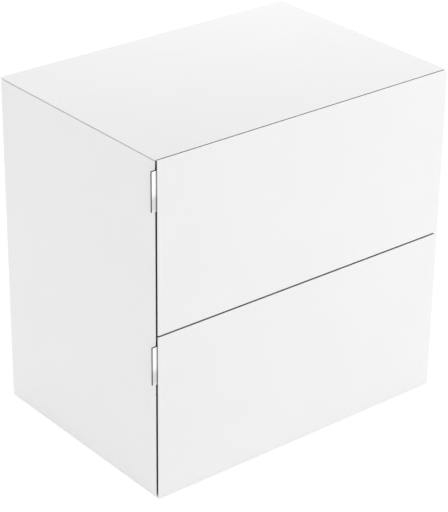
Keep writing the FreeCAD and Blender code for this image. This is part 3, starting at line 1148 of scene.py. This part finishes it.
def screw_tree() -> NodeTree:
    """Builds the node tree that threads a screw blank and sets one at every point.

    Returns:
        The tree, whose inputs are the points, the blank and the thread's sizes.
    """
    tree = bpy.data.node_groups.new("Screws at points", "GeometryNodeTree")
    sockets = (
        ("Points", "INPUT", "NodeSocketGeometry"),
        ("Blank", "INPUT", "NodeSocketObject"),
        ("Aim", "INPUT", "NodeSocketVector"),
        ("Thread Radius", "INPUT", "NodeSocketFloat"),
        ("Thread Height", "INPUT", "NodeSocketFloat"),
        ("Thread Length", "INPUT", "NodeSocketFloat"),
        ("Thread Foot", "INPUT", "NodeSocketFloat"),
        ("Turns", "INPUT", "NodeSocketFloat"),
        ("Finish", "INPUT", "NodeSocketMaterial"),
        ("Screws", "OUTPUT", "NodeSocketGeometry"),
    )
    for name, way, kind in sockets:
        tree.interface.new_socket(name, in_out=way, socket_type=kind)
    given = add_node(tree, "NodeGroupInput", {}, {})
    blank = add_node(tree, "GeometryNodeObjectInfo", {}, {"Object": given.outputs["Blank"]})
    helix = add_node(
        tree,
        "GeometryNodeCurveSpiral",
        {},
        {
            "Resolution": THREAD_STEPS,
            "Rotations": given.outputs["Turns"],
            "Start Radius": given.outputs["Thread Radius"],
            "End Radius": given.outputs["Thread Radius"],
            "Height": given.outputs["Thread Length"],
        },
    )
    ridge = add_node(
        tree,
        "GeometryNodeCurvePrimitiveCircle",
        {},
        {"Resolution": RIDGE_SIDES, "Radius": given.outputs["Thread Height"]},
    )
    thread = add_node(
        tree,
        "GeometryNodeCurveToMesh",
        {},
        {"Curve": helix.outputs["Curve"], "Profile Curve": ridge.outputs["Curve"], "Fill Caps": True},
    )
    drop = add_node(tree, "ShaderNodeCombineXYZ", {}, {"Z": given.outputs["Thread Foot"]})
    placed = add_node(
        tree,
        "GeometryNodeTransform",
        {},
        {"Geometry": thread.outputs["Mesh"], "Translation": drop.outputs["Vector"]},
    )
    whole = add_node(tree, "GeometryNodeJoinGeometry", {}, {"Geometry": blank.outputs["Geometry"]})
    tree.links.new(placed.outputs["Geometry"], whole.inputs["Geometry"])
    aimed = add_node(
        tree, "FunctionNodeAlignRotationToVector", {"axis": "Z"}, {"Vector": given.outputs["Aim"]}
    )
    spin = add_node(
        tree,
        "FunctionNodeRandomValue",
        {"data_type": "FLOAT"},
        {"Min": 0.0, "Max": math.tau, "Seed": TURN_SEED},
    )
    floats = [s for s in spin.outputs if s.type == "VALUE" and s.enabled]
    turned = add_node(tree, "ShaderNodeCombineXYZ", {}, {"Z": floats[0]})
    as_turn = add_node(tree, "FunctionNodeEulerToRotation", {}, {"Euler": turned.outputs["Vector"]})
    both = add_node(
        tree,
        "FunctionNodeRotateRotation",
        {"rotation_space": "LOCAL"},
        {"Rotation": aimed.outputs["Rotation"], "Rotate By": as_turn.outputs["Rotation"]},
    )
    set_out = add_node(
        tree,
        "GeometryNodeInstanceOnPoints",
        {},
        {
            "Points": given.outputs["Points"],
            "Instance": whole.outputs["Geometry"],
            "Rotation": both.outputs["Rotation"],
        },
    )
    real = add_node(tree, "GeometryNodeRealizeInstances", {}, {"Geometry": set_out.outputs["Instances"]})
    dressed = add_node(
        tree,
        "GeometryNodeSetMaterial",
        {},
        {"Geometry": real.outputs["Geometry"], "Material": given.outputs["Finish"]},
    )
    add_node(tree, "NodeGroupOutput", {}, {"Screws": dressed.outputs["Geometry"]})
    return tree


@dataclass
class ScrewSet:
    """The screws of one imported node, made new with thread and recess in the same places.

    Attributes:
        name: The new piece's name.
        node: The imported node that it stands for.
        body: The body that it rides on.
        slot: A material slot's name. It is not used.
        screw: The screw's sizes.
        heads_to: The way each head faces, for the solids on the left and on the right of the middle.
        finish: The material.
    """

    name: str
    node: str
    body: str
    slot: str
    screw: Screw
    heads_to: tuple[Vector, Vector]
    finish: Material

    def build(self, tree: NodeTree) -> None:
        """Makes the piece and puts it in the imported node's place.

        Args:
            tree: The tree from screw_tree.
        """
        middle = (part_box("left_side_panel")[0].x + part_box("right_side_panel")[1].x) / 2
        solids = solids_of(self.node)
        to_left, to_right = self.heads_to
        groups = [(to_left, solids)]
        if to_left != to_right:
            groups = [
                (to_left, [s for s in solids if s.middle.x <= middle]),
                (to_right, [s for s in solids if s.middle.x > middle]),
            ]
        hands = [
            self.set_out(tree, [self.head_place(s, facing) for s in group], facing) for facing, group in groups
        ]
        bpy.context.view_layer.update()
        mesh = bmesh.new()
        for part in hands:
            mesh.from_mesh(part.data)
            bpy.data.objects.remove(part)
        piece = new_piece(self.name, mesh)
        piece.data.materials.append(self.finish)
        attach(piece, self.body)
        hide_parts(self.node)
        LOG.info("%s: %s", self.name, self.finish.name)

    def head_place(self, solid: Box, facing: Vector) -> Vector:
        """Finds where a packed screw's head sits.

        Args:
            solid: The box round the screw.
            facing: The way its head faces.

        Returns:
            The middle of its head's face, below its dome, in metres.
        """
        reach = (solid.high - solid.low) / 2
        outer = solid.middle + Vector([r * f for r, f in zip(reach, facing)])
        return outer - facing * self.screw.dome * MM

    def set_out(self, tree: NodeTree, places: list[Vector], facing: Vector) -> Object:
        """Sets a screw at each place.

        Args:
            tree: The tree from screw_tree.
            places: Where the heads are, in metres.
            facing: The way they face.

        Returns:
            One object with all the screws in its mesh.
        """
        mesh = bmesh.new()
        for place in places:
            mesh.verts.new(place)
        points = new_piece("screw_points", mesh)
        screw = self.screw
        blank = screw.blank()
        values = {
            "Blank": blank,
            "Aim": facing,
            "Thread Radius": screw.core * MM,
            "Thread Height": screw.thread_height * MM,
            "Thread Length": screw.thread_length * MM,
            "Thread Foot": screw.thread_foot * MM,
            "Turns": screw.thread_length / screw.pitch,
            "Finish": self.finish,
        }
        modifier = points.modifiers.new("Screws", "NODES")
        modifier.node_group = tree
        for socket in tree.interface.items_tree:
            if socket.in_out == "INPUT" and socket.name in values:
                modifier[socket.identifier] = values[socket.name]
        made = frozen_copy(points, self.name + "_part")
        for helper in (points, blank):
            bpy.data.objects.remove(helper)
        return made


@dataclass
class Fixings:
    """Every screw that Geometry Nodes make.

    Attributes:
        finishes: The finishes to use.
        back_screw: What holds the back panel.
        case_screw: What holds a runner to the case.
        glide_screw: What holds a floor glide.
        front_screw: What holds a drawer's front to its box.
        runner_screw: What holds a runner to a drawer.
    """

    finishes: Finishes
    back_screw: Screw = Screw(head=6.6, shank=3.4, length=22.0)
    case_screw: Screw = Screw(head=6.2, shank=3.4, length=14.0)
    glide_screw: Screw = Screw(head=6.2, shank=3.2, length=14.0)
    front_screw: Screw = Screw(head=7.6, shank=3.8, length=24.0, shape=Head.PAN, dome=2.4)
    runner_screw: Screw = Screw(head=6.2, shank=3.4, length=10.5, pitch=1.4)

    def build(self) -> None:
        """Makes each set in turn."""
        zinc = self.finishes.zinc
        right, back, down = Axis.X.vector, Axis.Y.vector, -Axis.Z.vector
        tree = screw_tree()
        sets = [
            ("back_screws", "back_panel_screws", "case", self.back_screw, (back, back)),
            ("case_runner_fixings", "case_runner_screws", "case", self.case_screw, (right, -right)),
            ("glide_fixings", "floor_glide_screws", "case", self.glide_screw, (down, down)),
        ]
        for level in Level:
            name, body = level.value, f"{level.value}_drawer"
            sets += [
                (f"{name}_front_fixings", f"{body}_front_screws", body, self.front_screw, (back, back)),
                (f"{name}_runner_fixings", f"{body}_runner_screws", body, self.runner_screw, (-right, right)),
            ]
        for name, node, body, screw, facing in sets:
            ScrewSet(name, node, body, "zinc_screw", screw, facing, zinc).build(tree)


@dataclass(frozen=True)
class Softbox:
    """A square soft lamp that faces the sideboard.

    Attributes:
        name: The lamp's name.
        place: Where its middle is, in metres.
        size: Its side, in metres.
        power: Its power in watts.
        in_gloss: Whether glossy surfaces show it.
    """

    name: str
    place: tuple[float, float, float]
    size: float
    power: float
    in_gloss: bool = True

    def build(self, aim: Vector) -> None:
        """Adds the lamp, turned to face a point.

        Args:
            aim: The point, in metres.
        """
        data = bpy.data.lights.new(self.name, "AREA")
        data.shape, data.size, data.energy = "SQUARE", self.size, self.power
        lamp = bpy.data.objects.new(self.name, data)
        bpy.context.scene.collection.objects.link(lamp)
        lamp.location = self.place
        lamp.rotation_euler = (aim - lamp.location).to_track_quat("-Z", "Y").to_euler()
        lamp.visible_glossy = self.in_gloss


@dataclass
class Studio:
    """A pale floor, soft lamps and the photograph's camera.

    Attributes:
        focal_px: The focal length in pixels of the photograph.
        azimuth: The camera's way round from the front, in degrees; it stands front left.
        elevation: Its angle above the horizon, in degrees.
        roll: Its turn about its own line of sight, in degrees.
        distance: Its distance from the target, in metres.
        aside: How far its line of sight passes right of and above the target, in metres.
        target: The point near the object's middle that the lamps face, in metres.
        clip: The nearest and the farthest that the camera sees, in metres.
        floor_half: Half the floor's side, in metres.
        floor_white: The floor's colour in the light that it throws back at the object.
        floor_wash: The part of its colour to the camera that takes the shadow.
        floor_glow: The rest of that colour, as light of its own.
        world_light: The light of the room, where 1 is white.
        world_side: How much brighter than that it is towards its bright side.
        bright_side: The way to that side.
    """

    long_side_px: int = 512
    sensor_mm: float = 36.0
    focal_px: float = 2030.483
    azimuth: float = 39.353
    elevation: float = 26.888
    roll: float = 0.710
    distance: float = 3.457151
    aside: tuple[float, float] = (0.000691, -0.023702)
    target: tuple[float, float, float] = (0.00475, 0.0, 0.2915)
    clip: tuple[float, float] = (0.05, 60.0)
    floor_half: float = 12.0
    floor_white: str = "#FCFCFC"
    floor_wash: str = "#7C7C7C"
    floor_glow: float = 0.86
    world_light: float = 0.805
    world_side: float = 0.404
    bright_side: tuple[float, float, float] = (-0.695, -0.715, -0.077)
    softboxes: tuple[Softbox, ...] = (
        Softbox("left_softbox", (-3.2, -0.6, 0.35), size=2.0, power=3.2),
        Softbox("right_softbox", (1.5, -1.7, 1.1), size=1.2, power=7.0),
        Softbox("back_softbox", (0.9, 1.1, 1.7), size=1.2, power=10.3, in_gloss=False),
    )

    def camera(self) -> None:
        """Places the camera and makes it the scene's."""
        turn, lift, roll = (math.radians(a) for a in (self.azimuth, self.elevation, self.roll))
        ahead = Vector((math.sin(turn) * math.cos(lift), math.cos(turn) * math.cos(lift), -math.sin(lift)))
        level = Vector((math.cos(turn), -math.sin(turn), 0.0))
        above = level.cross(ahead)
        right = level * math.cos(roll) + above * math.sin(roll)
        up = above * math.cos(roll) - level * math.sin(roll)
        place = Vector(self.target) - ahead * self.distance + right * self.aside[0] + up * self.aside[1]
        data = bpy.data.cameras.new("photo_camera")
        data.sensor_width = self.sensor_mm
        data.lens = self.focal_px * self.sensor_mm / self.long_side_px
        data.clip_start, data.clip_end = self.clip
        camera = bpy.data.objects.new("photo_camera", data)
        bpy.context.scene.collection.objects.link(camera)
        camera.matrix_world = Matrix.Translation(place) @ Matrix((right, up, -ahead)).transposed().to_4x4()
        bpy.context.scene.camera = camera

    def floor(self) -> None:
        """Lays the floor, which looks white to the camera and keeps a soft shadow."""
        mesh = bmesh.new()
        half = self.floor_half
        square = ((-half, -half), (half, -half), (half, half), (-half, half))
        mesh.faces.new([mesh.verts.new((x, y, 0.0)) for x, y in square])
        floor = new_piece("studio_floor", mesh)
        material, tree, surface = new_material("Studio floor paint")
        path = add_node(tree, "ShaderNodeLightPath", {}, {})
        seen = self.is_seen(tree, path)
        paint = add_node(tree, "ShaderNodeBsdfDiffuse", {}, {"Color": linear(self.floor_white)})
        glow = add_node(tree, "ShaderNodeEmission", {}, {"Color": linear("#FFFFFF"), "Strength": self.floor_glow})
        wash = add_node(tree, "ShaderNodeBsdfDiffuse", {}, {"Color": linear(self.floor_wash)})
        white = add_node(tree, "ShaderNodeAddShader", {}, {0: wash.outputs[0], 1: glow.outputs[0]})
        both = add_node(tree, "ShaderNodeMixShader", {}, {0: seen, 1: paint.outputs[0], 2: white.outputs[0]})
        tree.links.new(both.outputs[0], surface)
        floor.data.materials.append(material)

    @staticmethod
    def is_seen(tree: NodeTree, path: Node) -> NodeSocket:
        """Adds a test for rays that the camera, a gloss or glass sends.

        Args:
            tree: The tree that takes it.
            path: Its Light Path node.

        Returns:
            A socket that is 1 for those rays.
        """
        first = add_node(
            tree,
            "ShaderNodeMath",
            {"operation": "MAXIMUM"},
            {0: path.outputs["Is Camera Ray"], 1: path.outputs["Is Glossy Ray"]},
        )
        last = add_node(
            tree,
            "ShaderNodeMath",
            {"operation": "MAXIMUM"},
            {0: first.outputs[0], 1: path.outputs["Is Transmission Ray"]},
        )
        return last.outputs[0]

    def lamps(self) -> None:
        """Sets the soft lamps and the even light of the white room."""
        for softbox in self.softboxes:
            softbox.build(Vector(self.target))
        world = bpy.data.worlds.new("white_room")
        bpy.context.scene.world = world
        world.use_nodes = True
        tree = world.node_tree
        tree.nodes.clear()
        path = add_node(tree, "ShaderNodeLightPath", {}, {})
        way = add_node(tree, "ShaderNodeTexCoord", {}, {})
        towards = add_node(
            tree,
            "ShaderNodeVectorMath",
            {"operation": "DOT_PRODUCT"},
            {0: way.outputs["Generated"], 1: self.bright_side},
        )
        light = add_node(
            tree,
            "ShaderNodeMath",
            {"operation": "MULTIPLY_ADD"},
            {0: towards.outputs["Value"], 1: self.world_side, 2: self.world_light},
        )
        strength = add_node(
            tree,
            "ShaderNodeMix",
            {"data_type": "FLOAT"},
            {0: self.is_seen(tree, path), 2: light.outputs[0], 3: 1.0},
        )
        room = add_node(
            tree,
            "ShaderNodeBackground",
            {},
            {"Color": linear("#FFFFFF"), "Strength": strength.outputs[0]},
        )
        add_node(tree, "ShaderNodeOutputWorld", {}, {"Surface": room.outputs["Background"]})

    def build(self) -> None:
        """Sets the whole studio up."""
        bpy.context.scene.view_settings.view_transform = "Standard"
        self.camera()
        self.floor()
        self.lamps()


def main() -> None:
    """Builds the sideboard's parts in order, then the studio."""
    logging.basicConfig(level=logging.INFO, format="%(name)s: %(message)s")
    finishes = Finishes()
    Case(finishes).dress()
    for level in Level:
        Drawer(level, finishes).dress()
    Fixings(finishes).build()
    Studio().build()


if __name__ == "__main__":
    main()
